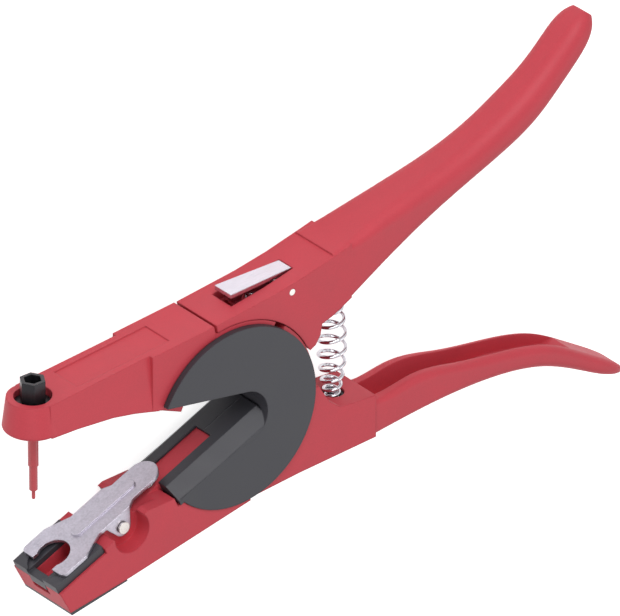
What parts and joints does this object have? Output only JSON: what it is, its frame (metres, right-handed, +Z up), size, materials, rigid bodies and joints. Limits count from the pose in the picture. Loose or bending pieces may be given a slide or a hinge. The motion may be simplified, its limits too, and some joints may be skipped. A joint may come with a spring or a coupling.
{
  "type": "ear tag applicator",
  "caption": "Hand plier for two-piece livestock ear tags, with an open throat hub, a stepped pin, a spring clip, a coil-sprung handle and a handle catch.",
  "frame": {"origin": "pivot axis of the levers on the resting face, the outer face of the far guard plate", "axes": "+Z up through the thickness of the tool as it lies flat, +X from the jaws to the handles, +Y from the lower jaw to the pin arm"},
  "size_m": [0.261, 0.1467, 0.026],
  "materials": {
    "red_casting": "fine matte powder coat on die-cast aluminium",
    "black_nylon": "moulded, satin",
    "nickel_clip": "stamped steel, satin nickel plate",
    "chrome": "polished chrome plate",
    "spring_steel": "bright plated spring wire",
    "steel_pin": "plain turned steel",
    "black_steel": "black oxide",
    "red_pin": "moulded red nylon"
  },
  "bodies": {
    "jaw_body": {"jaw_lever": "red_casting", "guard_near_half": "black_nylon", "guard_far_half": "black_nylon", "guard_screws": "black_steel", "tag_nest": "black_nylon", "jaw_sole": "black_nylon", "nest_screws": "black_steel", "clip_pin": "steel_pin", "clip_spring": "spring_steel", "handle_spring": "spring_steel", "catch_pin": "steel_pin", "catch_spring": "spring_steel"},
    "pin_body": {"pin_lever": "red_casting", "applicator_pin": "red_pin", "pin_nut": "black_steel", "nut_washer": "black_steel", "spring_cup": "black_nylon"},
    "clip_body": {"tag_clip": "nickel_clip"},
    "catch_body": {"catch_lever": "chrome"}
  },
  "joints": [
    {"name": "squeeze", "type": "hinge", "parent": "jaw_body", "child": "pin_body", "pos_m": [0, 0, 0.013], "axis": [0, 0, 1], "range_deg": [0, 24], "stiffness_Nm_per_rad": 2, "springref_deg": -17.19, "deforming": ["handle_spring"]},
    {"name": "clip_lift", "type": "hinge", "parent": "jaw_body", "child": "clip_body", "pos_m": [-0.04499, -0.02802, 0.013], "axis": [0, 0, -1], "range_deg": [0, 6], "stiffness_Nm_per_rad": 0.05, "springref_deg": -22.92, "deforming": ["clip_spring"]},
    {"name": "catch_press", "type": "hinge", "parent": "jaw_body", "child": "catch_body", "pos_m": [0.025, 0.0384, 0.013], "axis": [0, 0, 1], "range_deg": [0, 6], "stiffness_Nm_per_rad": 0.01, "springref_deg": -22.92, "deforming": ["catch_spring"]}
  ]
}
